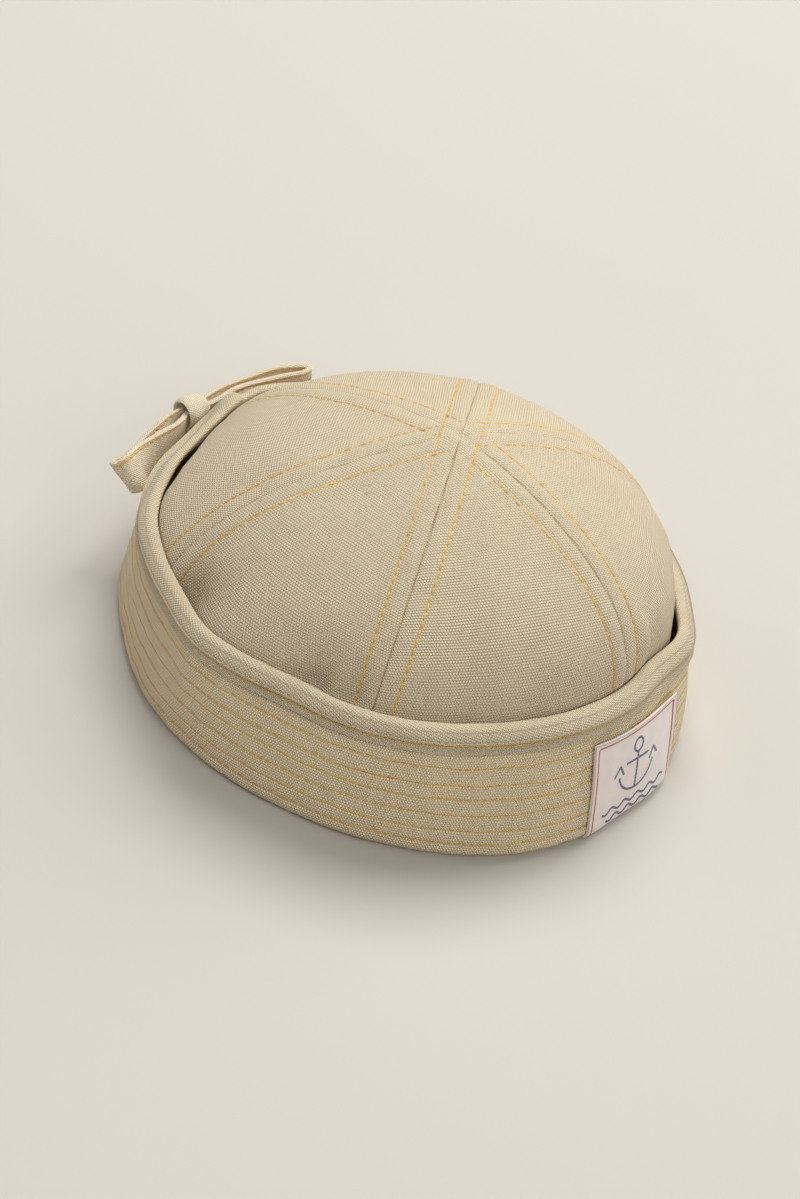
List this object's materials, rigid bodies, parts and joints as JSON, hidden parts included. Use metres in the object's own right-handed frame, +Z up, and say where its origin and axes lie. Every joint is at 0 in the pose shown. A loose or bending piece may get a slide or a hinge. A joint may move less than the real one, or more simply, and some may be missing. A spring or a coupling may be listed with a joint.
{
  "type": "sailor cap",
  "caption": "Panelled canvas sailor cap with a round crown, a deep turned-up stitched cuff, a bound rim, a front patch and a strap bow at the back.",
  "frame": {"origin": "middle of the cap's footprint on the surface that it rests on, the bow included", "axes": "+Z up through the crown, -Y towards the front with the patch, +Y towards the bow at the back"},
  "size_m": [0.185, 0.2084, 0.0951],
  "materials": {
    "canvas": "plain woven cotton canvas, matt",
    "binding": "cotton canvas cut on the bias, matt",
    "woven_label": "fine woven patch, matt"
  },
  "bodies": {
    "root": {"crown_panel_1": "canvas", "crown_panel_2": "canvas", "crown_panel_3": "canvas", "crown_panel_4": "canvas", "crown_panel_5": "canvas", "crown_panel_6": "canvas", "cuff": "canvas", "rim_binding": "binding", "label": "woven_label", "tie_knot": "binding", "tie_loop_left": "binding", "tie_loop_right": "binding", "tie_end_left": "binding", "tie_end_right": "binding"}
  },
  "joints": []
}
